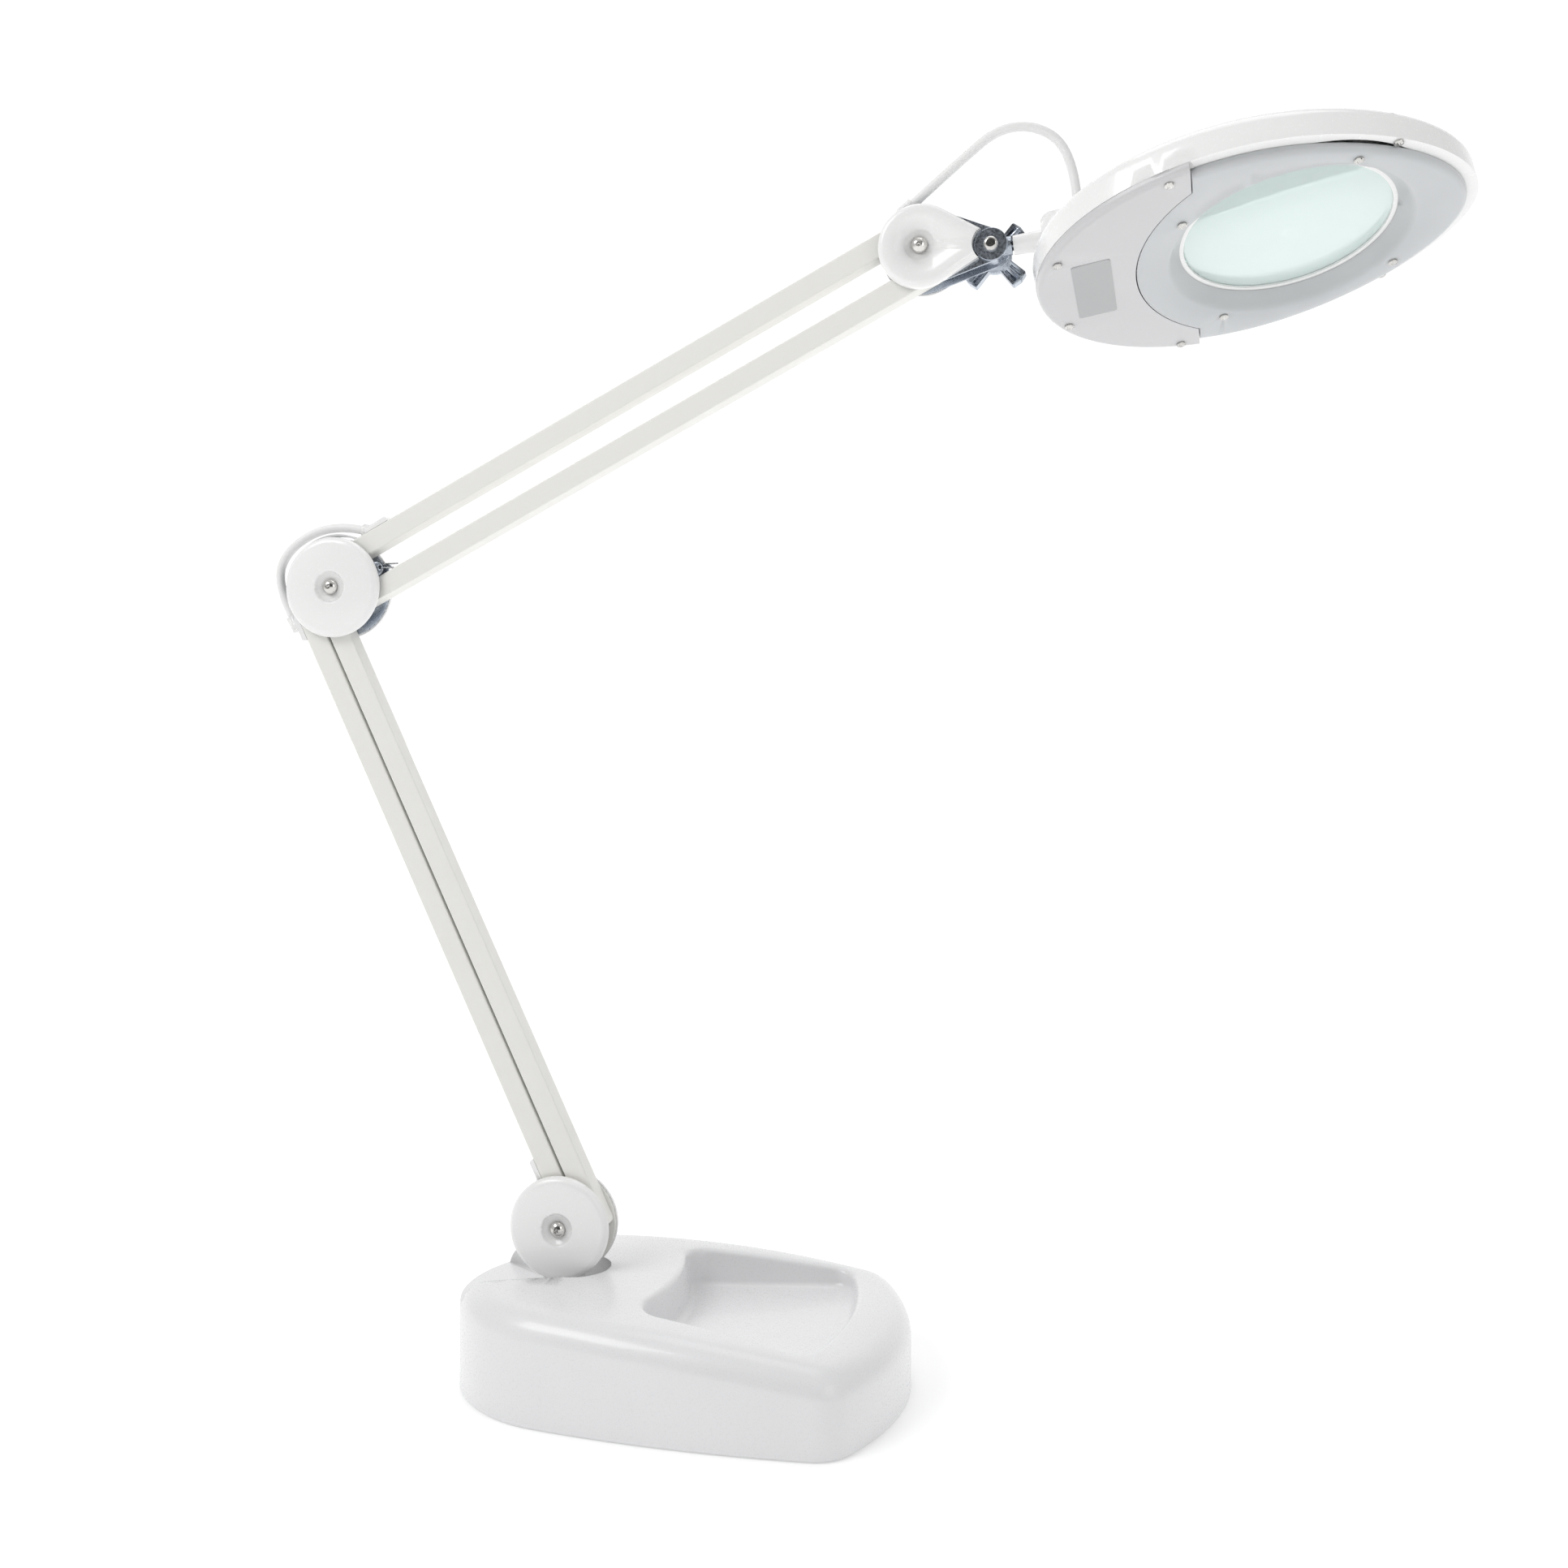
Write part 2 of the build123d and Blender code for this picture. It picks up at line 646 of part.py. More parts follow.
# strap that keeps the cord off the elbow, fixed to the end of the high bar
strap_r = 31.4
strap_t = 1.2
with BuildPart() as cord_strap:
    with BuildSketch(side(elbow_c, 3.4)):
        with BuildLine():
            outer = CenterArc((0, 0), strap_r + strap_t, 68, 92)
            inner = CenterArc((0, 0), strap_r, 68, 92)
            Line(outer @ 0, inner @ 0)
            Line(outer @ 1, inner @ 1)
        make_face()
    extrude(amount=6.8)
nodes["cord_strap"] = cord_strap

with BuildPart() as balance_wires:
    for dz in (-1.5, 1.5):
        start = plus(elbow_c, plus(polar(24.5, 31.6), (0, dz)))
        with Locations(Plane(origin=(start[0], dz * 2, start[1]), z_dir=(1, 0, 0.03))):
            Cylinder(0.5, wire_run, align=(Align.CENTER, Align.CENTER, Align.MIN))
nodes["balance_wires"] = balance_wires

# ---------------------------------------------------------------- tilt knuckle
with BuildPart() as tilt_bolt:
    y0 = plate_in + plate_t + plate_t
    with BuildSketch(side(knuckle_c, -y0)):
        Circle(bolt_head_r)
    extrude(amount=bolt_head)
    fillet(tilt_bolt.faces().sort_by(Axis.Y)[0].edges(), bolt_head - 0.8)
    with BuildSketch(side(knuckle_c, bolt_end)):
        Circle(bolt_r)
    extrude(amount=bolt_end + y0)
nodes["tilt_bolt"] = tilt_bolt

with BuildPart() as tilt_washers:
    with BuildSketch(side(knuckle_c, -plate_in - plate_t)):
        Circle(9.25)
        Circle(bolt_r + SEAT, mode=Mode.SUBTRACT)
    extrude(amount=plate_t)
    fillet(tilt_washers.faces().sort_by(Axis.Y)[0].edges().sort_by(SortBy.LENGTH)[-1:], 0.5)
    with BuildSketch(side(knuckle_c, plate_in + plate_t)):
        Circle(8.5)
        Circle(bolt_r + SEAT, mode=Mode.SUBTRACT)
    extrude(amount=-1.1)
nodes["tilt_washers"] = tilt_washers

with BuildPart() as clamp_knob:
    with BuildSketch(side(knuckle_c, knob_y)) as arms:
        Circle(9.5)
        with PolarLocations(0, 4, 45):
            Polygon((4, -wing_root), (wing_r - 1, -wing_tip), (wing_r, 0), (wing_r - 1, wing_tip),
                    (4, wing_root), align=None)
        fillet(arms.vertices(), 1.0)
    extrude(amount=-knob_thick)
    with BuildSketch(side(knuckle_c, knob_y)):
        with PolarLocations(14.8, 4, 45):
            with Locations((0, -2), (0, 2)):
                Rectangle(8.4, 1.7)
    extrude(amount=-2.6, mode=Mode.SUBTRACT)
    with BuildSketch(side(knuckle_c, hub_y)):
        Circle(hub_r)
    extrude(amount=hub_y - knob_y - 1)
    with BuildSketch(side(knuckle_c, 0)):
        Circle(bolt_r + RUN)
    extrude(amount=-bolt_end - 0.5, mode=Mode.SUBTRACT)
nodes["clamp_knob"] = clamp_knob

with BuildPart() as tilt_knuckle:
    with Locations(side(knuckle_c)):
        Cylinder(knuckle_r, 2 * plate_in - 0.8)
    with Locations(rod.offset(5)):
        Cylinder(5.2, 6, align=(Align.CENTER, Align.CENTER, Align.MIN))
    with Locations(side(knuckle_c)):
        Cylinder(bolt_r + RUN, 40, mode=Mode.SUBTRACT)
    with Locations(rod.offset(6.2)):
        Cylinder(rod_r + SEAT, 10, align=(Align.CENTER, Align.CENTER, Align.MIN), mode=Mode.SUBTRACT)
nodes["tilt_knuckle"] = tilt_knuckle

socket_from = 12.0
socket_to = 40.0
with BuildPart() as tilt_rod:
    with Locations(rod.offset(6.4)):
        Cylinder(rod_r, 39, align=(Align.CENTER, Align.CENTER, Align.MIN))
    with Locations(rod.offset(socket_to + 0.4)):
        Cylinder(4.6, 2, align=(Align.CENTER, Align.CENTER, Align.MIN))
nodes["tilt_rod"] = tilt_rod

# ---------------------------------------------------------------- head
with BuildPart() as head_socket:
    with BuildSketch(rod.offset(socket_from)):
        Circle(5.35)
    with BuildSketch(rod.offset(socket_to)):
        Circle(6.7)
    loft()
    with Locations(rod):
        Cylinder(rod_r + RUN, 120, mode=Mode.SUBTRACT)
nodes["head_socket"] = head_socket


def head_outline(inset):
    """Plan outline of the head in the current sketch, drawn in by inset."""
    half = head_half - inset
    nose = head_front - inset
    side_x = head_x + front_full_side * nose
    with BuildSketch() as plan:
        with BuildLine():
            EllipticalCenterArc((head_x, 0), head_rear - inset, head_half - inset, 90, arc_size=180)
            for s in (1, -1):
                Bezier((head_x, s * half), (side_x, s * half),
                       (head_x + nose, s * half * front_full_nose), (head_x + nose, 0))
        make_face()
    return plan.sketch


def head_block(inset, bottom):
    """Solid of the head body above bottom, drawn in by inset."""
    with BuildPart() as block:
        with BuildSketch(head.offset(bottom)):
            add(head_outline(inset))
        extrude(amount=top_h - inset - bottom)
        fillet(block.faces().sort_by(head_up)[-1].edges(), top_r - inset)
        with BuildSketch(head_mid.offset(inset - hump_half)) as hump:
            with BuildLine():
                Polyline((hump_x + inset, 0), (hump_x + inset, hump_top - inset),
                         (-100, hump_top - inset), (-56, top_h - inset - 1), (-56, 0), close=True)
            make_face()
            fillet(hump.vertices().group_by(Axis(lens_c, head_n))[-1], 7)
        extrude(amount=2 * (hump_half - inset))
    return block.part


with BuildPart() as head_top_shell:
    add(head_block(0, rim_h))
    add(head_block(shell_wall, rim_h - 1), mode=Mode.SUBTRACT)
    with BuildSketch(head.offset(rim_h)):
        add(head_outline(0))
        with Locations((0, 0)):
            Circle(board_out + 1.0, mode=Mode.SUBTRACT)
        with Locations((-92, 0)):
            RectangleRounded(52, 96, 20, mode=Mode.SUBTRACT)
    extrude(amount=1.8)
    with BuildSketch(head.offset(lens_edge / 2 + lip_gap)):
        Circle(well_r)
        Circle(view_r, mode=Mode.SUBTRACT)
    extrude(amount=top_h - lens_edge / 2 - lip_gap - 0.5)
    with BuildSketch(head.offset(retainer_low)):
        Circle(well_r)
        Circle(seat_r, mode=Mode.SUBTRACT)
    extrude(amount=6)
    with BuildSketch(head.offset(-1)):
        Circle(view_r)
    extrude(amount=20, mode=Mode.SUBTRACT)
    with BuildSketch(head.offset(6.0)):
        with Locations(*[polar(a, ring_screw_r) for a in ring_screw_at]):
            Circle(3.4)
    extrude(amount=4.5)
    with BuildSketch(head.offset(-9)):
        with Locations(*[polar(a, ring_screw_r) for a in ring_screw_at]):
            Circle(small_screw_r + SEAT)
        with Locations(*cover_screw_at):
            Circle(small_screw_r + SEAT)
        with Locations(*rim_screw_at):
            Circle(small_screw_r + SEAT)
    extrude(amount=18.4, mode=Mode.SUBTRACT)
    with Locations(rod.offset(26)):
        Cylinder(6.9, 16, align=(Align.CENTER, Align.CENTER, Align.MIN), mode=Mode.SUBTRACT)
    with BuildSketch(head.offset(-2)):
        with Locations((-88, -42)):
            Rectangle(20.6, 12.6)
    extrude(amount=20, mode=Mode.SUBTRACT)
    with BuildSketch(head.offset(20)):
        with Locations((grommet_u, 0)):
            Circle(5.1)
    extrude(amount=20, mode=Mode.SUBTRACT)
nodes["head_top_shell"] = head_top_shell


def lamp_side(inset, extra, bottom, top):
    """Underside region in front of the seam, from bottom to top along the head normal."""
    with BuildPart() as region:
        with BuildSketch(head.offset(bottom)):
            with Locations((seam_x, 0)):
                Circle(seam_r + extra)
            with Locations((seam_step - extra, 0)):
                Rectangle(200, 240, align=(Align.MIN, Align.CENTER))
        extrude(amount=top - bottom)
    return region.part


with BuildPart() as head_cover:
    with BuildSketch(head.offset(under_h)):
        add(head_outline(0.3))
    extrude(amount=rim_h - 0.2 - under_h)
    fillet(head_cover.faces().sort_by(head_up)[0].edges(), 3.2)
    with BuildSketch(head.offset(under_h + 2.2)):
        add(head_outline(2.6))
    extrude(amount=20, mode=Mode.SUBTRACT)
    with BuildSketch(head.offset(under_h + 1)):
        with Locations(*cover_screw_at):
            Circle(3.2)
    extrude(amount=rim_h - 0.2 - under_h - 1)
    add(lamp_side(0, 0.3, under_h - 5, 20), mode=Mode.SUBTRACT)
    with BuildSketch(head.offset(under_h - 1)):
        with Locations(*cover_screw_at):
            Circle(small_screw_r + SEAT)
    extrude(amount=20, mode=Mode.SUBTRACT)
nodes["head_cover"] = head_cover

with BuildPart() as diffuser_ring:
    with BuildSketch(head.offset(under_h)):
        add(head_outline(6.2))
    extrude(amount=rim_h - 0.3 - under_h)
    fillet(diffuser_ring.faces().sort_by(head_up)[0].edges(), 3.8)
    with BuildSketch(head.offset(under_h + 2.0)):
        add(head_outline(8.2))
    extrude(amount=20, mode=Mode.SUBTRACT)
    with BuildSketch(head.offset(under_h + 1)):
        Circle(66)
    with BuildSketch(head.offset(cone_top)):
        Circle(59)
    loft()
    with BuildSketch(head.offset(under_h + 1)):
        with Locations(*[polar(a, ring_screw_r) for a in ring_screw_at]):
            Circle(3.0)
    extrude(amount=3.9 - under_h - 1)
    add(lamp_side(0, -0.3, under_h - 1, 20), mode=Mode.INTERSECT)
    with BuildSketch(head.offset(under_h - 0.01)):
        Circle(65.4)
    with BuildSketch(head.offset(cone_top + 0.1)):
        Circle(57.2)
    loft(mode=Mode.SUBTRACT)
    with BuildSketch(head.offset(under_h - 1)):
        with Locations(*[polar(a, ring_screw_r) for a in ring_screw_at]):
            Circle(small_screw_r + SEAT)
    extrude(amount=30, mode=Mode.SUBTRACT)
nodes["diffuser_ring"] = diffuser_ring

with BuildPart() as lens:
    r_face = (lens_r ** 2 + lens_sag ** 2) / (2 * lens_sag)
    section = Plane(origin=lens_c, x_dir=head_u, z_dir=head_v * -1)
    with BuildSketch(section):
        with BuildLine():
            h = lens_edge / 2
            RadiusArc((0, h + lens_sag), (lens_r, h), r_face)
            Line((lens_r, h), (lens_r, -h))
            RadiusArc((lens_r, -h), (0, -h - lens_sag), r_face)
            Line((0, -h - lens_sag), (0, h + lens_sag))
        make_face()
    revolve(axis=head_up)
nodes["lens"] = lens


def ring(r_out, r_in, low, high):
    """Flat ring about the lens axis."""
    with BuildPart() as band:
        with BuildSketch(head.offset(low)):
            Circle(r_out)
            Circle(r_in, mode=Mode.SUBTRACT)
        extrude(amount=high - low)
    return band.part


with BuildPart() as lens_retainer:
    add(ring(seat_r - 0.05, 55.0, retainer_low, retainer_high))
nodes["lens_retainer"] = lens_retainer

with BuildPart() as led_board:
    add(ring(board_out, board_in, 4.2, 5.8))
    with BuildSketch(head.offset(0)):
        with Locations(*[polar(a, ring_screw_r) for a in ring_screw_at]):
            Circle(small_screw_r + SEAT)
    extrude(amount=10, mode=Mode.SUBTRACT)
nodes["led_board"] = led_board

led_angles = [i * 360 / led_count for i in range(led_count)]
led_angles = [a for a in led_angles if min(abs(a - s) for s in ring_screw_at) > 4.5]
with BuildPart() as leds:
    with BuildSketch(head.offset(4.2)):
        for a in led_angles:
            with Locations(Location(polar(a, led_ring_r), a)):
                Rectangle(3.5, 3.5)
    extrude(amount=-1.4)
nodes["leds"] = leds

with BuildPart() as driver_board:
    with BuildSketch(head.offset(-4)):
        with Locations((-100, 0)):
            RectangleRounded(30, 52, 2)
    extrude(amount=1.6)
    with BuildSketch(head.offset(under_h + 2.25)):
        with Locations((-100, 0)):
            with GridLocations(20, 44, 2, 2):
                Circle(2.2)
    extrude(amount=-4 - under_h - 2.25)
    with BuildSketch(head.offset(-2.5)):
        with Locations((-100, -14)):
            Rectangle(16, 14)
        with Locations((-94, 14)):
            Circle(5)
        with Locations((-106, 12)):
            Rectangle(7, 12)
    extrude(amount=9)
nodes["driver_board"] = driver_board


def small_screws(spots, low, length):
    """Pan-head screws along the head normal with their heads under the level low."""
    with BuildPart() as screws:
        with BuildSketch(head.offset(low)):
            with Locations(*spots):
                Circle(small_head_r)
        extrude(amount=-1.1)
        with BuildSketch(head.offset(low - 0.2)):
            with Locations(*spots):
                Circle(small_screw_r)
        extrude(amount=length + 0.2)
    return screws


nodes["ring_screws"] = small_screws([polar(a, ring_screw_r) for a in ring_screw_at], under_h, 22)
with BuildPart() as cover_screws:
    add(small_screws(cover_screw_at, under_h, 8).part)
    add(small_screws(rim_screw_at, rim_h, 8).part)
nodes["cover_screws"] = cover_screws

with BuildPart() as rating_label:
    with BuildSketch(head.offset(under_h)):
        with Locations((-105, 0)):
            RectangleRounded(21, 53, 1.5)
    extrude(amount=-0.25)
nodes["rating_label"] = rating_label

# switch on the upper face
with BuildPart() as switch_frame:
    with BuildSketch(head.offset(1)):
        with Locations((-88, -42)):
            Rectangle(20.4, 12.4)
    extrude(amount=top_h - 0.9)
    with BuildSketch(head.offset(top_h)):
        with Locations((-88, -42)):
            RectangleRounded(24, 16, 2)
    extrude(amount=1.2)
    with BuildSketch(head.offset(3)):
        with Locations((-88, -42)):
            Rectangle(17.8, 9.6)
    extrude(amount=20, mode=Mode.SUBTRACT)
nodes["switch_frame"] = switch_frame

rocker_mid = Plane(origin=lens_c + head_v * -42 + head_u * -88, x_dir=head_u, z_dir=head_v * -1)
with BuildPart() as switch_rocker:
    with BuildSketch(rocker_mid.offset(-4.4)) as shape:
        with BuildLine():
            Polyline((-7.0, 8), (-7.0, 12.2), (0, 13.0), (7.0, 15.2), (7.0, 9), (0, 4.5), close=True)
        make_face()
        fillet(shape.vertices(), 0.7)
    extrude(amount=8.8)
nodes["switch_rocker"] = switch_rocker

with BuildPart() as cord_grommet:
    with BuildSketch(head.offset(hump_top - 3.5)):
        with Locations((grommet_u, 0)):
            Circle(5.0)
    extrude(amount=3.6)
    with BuildSketch(head.offset(hump_top + 0.05)):
        with Locations((grommet_u, 0)):
            Circle(7.0)
    extrude(amount=grommet_rise)
    fillet(cord_grommet.faces().sort_by(head_up)[-1].edges(), 1.2)
    with BuildSketch(head.offset(0)):
        with Locations((grommet_u, 0)):
            Circle(cord_r + 0.3)
    extrude(amount=60, mode=Mode.SUBTRACT)
nodes["cord_grommet"] = cord_grommet


# ---------------------------------------------------------------- cords
def cord(name, pts):
    """Round cord with straight runs and tangent arcs through the points of its route."""
    radii = []
    for a, b, c in zip(pts, pts[1:], pts[2:]):
        turn = math.radians((b - a).get_angle(c - b))
        radii.append(0.45 * min((b - a).length, (c - b).length) / math.tan(turn / 2))
    print(name, "bend radii", [round(r, 1) for r in radii], "smallest", round(min(radii), 1))
    with BuildPart() as solid:
        with BuildLine() as path:
            FilletPolyline(*[(p.X, p.Y, p.Z) for p in pts], radius=radii)
        with BuildSketch(Plane(origin=path.line @ 0, z_dir=path.line % 0)):
            Circle(cord_r)
        sweep()
    length = sum(edge.length for edge in path.edges())
    want = math.pi * cord_r ** 2 * length
    print(name, "length", round(length, 1), "volume ratio", round(solid.part.volume / want, 4))
    return solid


nodes["elbow_cord"] = cord("elbow_cord", elbow_route)
nodes["head_cord"] = cord("head_cord", head_route)

# ---------------------------------------------------------------- export
for name, node in nodes.items():
    node.part.label = name
    export_step(node.part, f"parts/{name}.step")
print(len(nodes), "nodes; elbow", elbow_c, "bracket", bracket_c, "knuckle", knuckle_c)
print("lens", lens_c, "u", head_u, "n", head_n)
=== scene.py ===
import json
import math

import bpy
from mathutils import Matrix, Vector


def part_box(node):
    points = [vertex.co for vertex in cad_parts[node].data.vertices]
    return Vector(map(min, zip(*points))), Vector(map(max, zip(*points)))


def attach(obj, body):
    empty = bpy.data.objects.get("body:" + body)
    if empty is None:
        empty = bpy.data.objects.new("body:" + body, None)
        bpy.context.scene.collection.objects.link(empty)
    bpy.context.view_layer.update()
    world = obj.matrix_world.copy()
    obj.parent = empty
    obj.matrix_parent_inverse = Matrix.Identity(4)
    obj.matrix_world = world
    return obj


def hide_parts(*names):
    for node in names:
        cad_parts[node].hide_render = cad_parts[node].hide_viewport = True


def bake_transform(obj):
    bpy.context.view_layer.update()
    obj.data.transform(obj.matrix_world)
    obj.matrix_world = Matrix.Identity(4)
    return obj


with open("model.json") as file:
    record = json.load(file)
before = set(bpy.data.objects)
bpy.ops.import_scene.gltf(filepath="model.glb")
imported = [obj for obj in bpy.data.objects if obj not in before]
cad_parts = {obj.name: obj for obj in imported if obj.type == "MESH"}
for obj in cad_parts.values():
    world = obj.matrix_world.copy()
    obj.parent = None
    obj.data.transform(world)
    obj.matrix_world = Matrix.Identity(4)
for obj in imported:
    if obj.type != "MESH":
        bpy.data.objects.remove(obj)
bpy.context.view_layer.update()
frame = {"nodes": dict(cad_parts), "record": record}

bl_info = {
    "name": "Bench magnifying lamp",
    "version": (1, 0, 0),
    "blender": (4, 5, 0),
    "location": "View3D > Sidebar > Lamp",
    "description": "Finishes the lamp's pieces, lays its cord loops and sets the studio",
    "category": "Object",
}

MM = 0.001
WELD = 0.004 * MM         # closer vertices of the frame's loose triangles are one
CAP_ANGLE = 32.0          # degrees that still read as one smooth face
ROUND_ANGLE = 40.0
BASE_ANGLE = 35.0
BEVEL_ANGLE = 50.0
CORD_ANGLE = 60.0
CAMERA_PLACE = (0.3367, -0.9593, 0.3892)
CAMERA_TURN = 12.0        # degrees about the vertical
CAMERA_SHIFT = -0.0445
VIEW_WAY = (-0.208, 0.978, 0.0)
AIM = (0.1, 0, 0.35)
BACKDROP = 1.06           # strength of the backdrop
# place along the way from behind the camera to the backdrop, and brightness there
ROOM_STOPS = ((0.10, 0.08), (0.24, 0.64), (0.68, 0.56), (0.90, 1.0))
ROOM_START = 0.05
# name, place, aim, size in metres, watts
SOFT_BOXES = (
    ("key", (-1.2, -1.3, 1.9), (0.05, 0, 0.35), (1.4, 1.0), 19),
    ("fill", (1.9, -1.4, 1.0), AIM, (1.0, 1.4), 6),
    ("top", (0.2, 0.3, 2.4), (0.1, 0, 0.4), (1.6, 1.0), 7),
)
BODY_OF = {n: b for b, names in frame["record"]["behaviour"]["bodies"].items() for n in names}
SLOT_OF = {s["node"]: s["material_slot"] for s in frame["record"]["subparts"]}

# pieces by finish
CAPS = ["base_cap_near", "base_cap_far", "elbow_cap_near", "elbow_cap_far",
        "joint_cap_near", "joint_cap_far"]
BARS = ["lower_rear_bar", "lower_front_bar", "upper_low_bar", "upper_high_bar"]
PLATES = ["base_plate_near", "base_plate_far", "elbow_plate_near", "elbow_plate_far",
          "head_plate_near", "head_plate_far", "bracket_rivets", "base_pins", "elbow_pins", "head_pins",
          "tilt_washers", "tilt_knuckle", "tilt_rod", "spigot", "spigot_clip", "plate_screws"]
CHROMED = ["base_cap_screws", "elbow_cap_screws", "joint_cap_screws", "tilt_bolt"]
SMALL_SCREWS = ["ring_screws", "cover_screws"]
MOULDED = ["swivel_bracket", "lower_clips", "upper_clips", "head_socket", "cord_grommet",
           "switch_frame", "switch_rocker", "cord_strap", "spigot_bush", "lens_retainer"]


# ------------------------------------------------------------------ settings
class LampColours(bpy.types.PropertyGroup):
    """Colours of the lamp's finishes."""
    shell: bpy.props.FloatVectorProperty(
        name="Head and cap plastic", description="Gloss white moulded plastic of the head and the joint caps",
        subtype="COLOR", size=3, min=0, max=1, default=(0.89, 0.89, 0.885))
    # painted shade: the white head cover is greyed to stand for the shade under the head
    cover_painted_shade: bpy.props.FloatVectorProperty(
        name="Head cover, painted shade", description="Plastic greyed with painted shade under the neck of the head",
        subtype="COLOR", size=3, min=0, max=1, default=(0.60, 0.60, 0.61))
    base: bpy.props.FloatVectorProperty(
        name="Base plastic", description="Satin white moulded plastic of the weighted base",
        subtype="COLOR", size=3, min=0, max=1, default=(0.80, 0.80, 0.81))
    bar: bpy.props.FloatVectorProperty(
        name="Arm paint", description="Powder coat of the square arm tubes",
        subtype="COLOR", size=3, min=0, max=1, default=(0.83, 0.825, 0.79))
    zinc: bpy.props.FloatVectorProperty(
        name="Zinc plate", description="Bluish zinc plating of the side plates and pins",
        subtype="COLOR", size=3, min=0, max=1, default=(0.44, 0.48, 0.54))
    # the diffuser's grey is partly its frosted tone and partly painted shade under the head
    diffuser: bpy.props.FloatVectorProperty(
        name="Diffuser", description="Frosted light ring around the lens",
        subtype="COLOR", size=3, min=0, max=1, default=(0.56, 0.58, 0.60))
    lens: bpy.props.FloatVectorProperty(
        name="Lens tint", description="Pale green tint of the lens glass",
        subtype="COLOR", size=3, min=0, max=1, default=(0.87, 0.975, 0.955))


class LampSizes(bpy.types.PropertyGroup):
    """Sizes that the finishing uses."""
    cord: bpy.props.FloatProperty(
        name="Cord diameter", description="Outer diameter of the cord", unit="LENGTH",
        min=0.002, max=0.008, default=5.3 * MM)
    edge: bpy.props.FloatProperty(
        name="Edge round", description="Small round on the edges of sheet-metal and moulded pieces",
        unit="LENGTH", min=0.0, max=0.001, default=0.25 * MM)
    camera_reach: bpy.props.FloatProperty(
        name="Camera focal length", description="Focal length in millimetres on a 36 mm frame",
        min=20, max=120, default=39.13)


# ------------------------------------------------------------------ materials
def nodes_of(name, colour):
    """New material with its Principled shader, node tree and a source of object coordinates."""
    mat = bpy.data.materials.new(name)
    mat.use_nodes = True
    tree = mat.node_tree
    shader = tree.nodes["Principled BSDF"]
    shader.inputs["Base Color"].default_value = (*colour, 1)
    coords = tree.nodes.new("ShaderNodeTexCoord")
    return mat, tree, shader, coords.outputs["Object"]


def noise(tree, coords, scale, detail=3.0, rough=0.5):
    """Noise texture fed by object coordinates, at cells per metre."""
    tex = tree.nodes.new("ShaderNodeTexNoise")
    tex.inputs["Scale"].default_value = scale
    tex.inputs["Detail"].default_value = detail
    tex.inputs["Roughness"].default_value = rough
    tree.links.new(coords, tex.inputs["Vector"])
    return tex.outputs["Fac"]


def remap(tree, value, low, high, start=0.35, stop=0.65):
    """Value mapped from the middle of the noise range to low and high."""
    node = tree.nodes.new("ShaderNodeMapRange")
    node.inputs["From Min"].default_value = start
    node.inputs["From Max"].default_value = stop
    node.inputs["To Min"].default_value = low
    node.inputs["To Max"].default_value = high
    tree.links.new(value, node.inputs["Value"])
    return node.outputs["Result"]


def tint(tree, factor, first, second):
    """Mix of two colours by factor."""
    mix = tree.nodes.new("ShaderNodeMix")
    mix.data_type = "RGBA"
    tree.links.new(factor, mix.inputs["Factor"])
    mix.inputs["A"].default_value = (*first, 1)
    mix.inputs["B"].default_value = (*second, 1)
    return mix.outputs["Result"]


def relief(tree, shader, height, depth, strength):
    """Bump of the given depth in metres."""
    bump = tree.nodes.new("ShaderNodeBump")
    bump.inputs["Strength"].default_value = strength
    bump.inputs["Distance"].default_value = depth
    tree.links.new(height, bump.inputs["Height"])
    tree.links.new(bump.outputs["Normal"], shader.inputs["Normal"])


def shade(colour, k):
    return tuple(min(1.0, c * k) for c in colour)


def moulded(name, colour, rough, coat=0.0, grain=900, depth=0.00002, strength=0.25):
    """Moulded plastic: fine grain, faint flow marks in colour and gloss."""
    mat, tree, shader, coords = nodes_of(name, colour)
    flow = noise(tree, coords, 14, 2)
    tree.links.new(tint(tree, remap(tree, flow, 0, 1), shade(colour, 0.985), shade(colour, 1.01)),
                   shader.inputs["Base Color"])
    fine = noise(tree, coords, grain, 4)
    tree.links.new(remap(tree, fine, rough - 0.05, rough + 0.06), shader.inputs["Roughness"])
    shader.inputs["IOR"].default_value = 1.49
    shader.inputs["Coat Weight"].default_value = coat
    shader.inputs["Coat Roughness"].default_value = 0.08
    relief(tree, shader, fine, depth, strength)
    return mat


def painted(name, colour, rough):
    """Powder coat: an orange-peel surface with a little scuffing."""
    mat, tree, shader, coords = nodes_of(name, colour)
    peel = noise(tree, coords, 650, 2, 0.4)
    scuff = noise(tree, coords, 60, 6, 0.7)
    tree.links.new(tint(tree, remap(tree, scuff, 0, 1, 0.3, 0.75), shade(colour, 1.0), shade(colour, 0.975)),
                   shader.inputs["Base Color"])
    tree.links.new(remap(tree, scuff, rough - 0.06, rough + 0.1), shader.inputs["Roughness"])
    relief(tree, shader, peel, 0.00004, 0.35)
    return mat


def plated(name, colour, rough, patch=55, brushed=None):
    """Plated metal with passivation patches, or fine brushing along one axis."""
    mat, tree, shader, coords = nodes_of(name, colour)
    shader.inputs["Metallic"].default_value = 1.0
    patches = noise(tree, coords, patch, 5, 0.6)
    tree.links.new(tint(tree, remap(tree, patches, 0, 1), shade(colour, 0.86), shade(colour, 1.12)),
                   shader.inputs["Base Color"])
    source = coords
    if brushed:
        stretch = tree.nodes.new("ShaderNodeMapping")
        stretch.inputs["Scale"].default_value = brushed
        tree.links.new(coords, stretch.inputs["Vector"])
        source = stretch.outputs["Vector"]
    scratches = noise(tree, source, 900, 4, 0.6)
    tree.links.new(remap(tree, scratches, rough - 0.07, rough + 0.1), shader.inputs["Roughness"])
    relief(tree, shader, scratches, 0.00001, 0.2)
    return mat


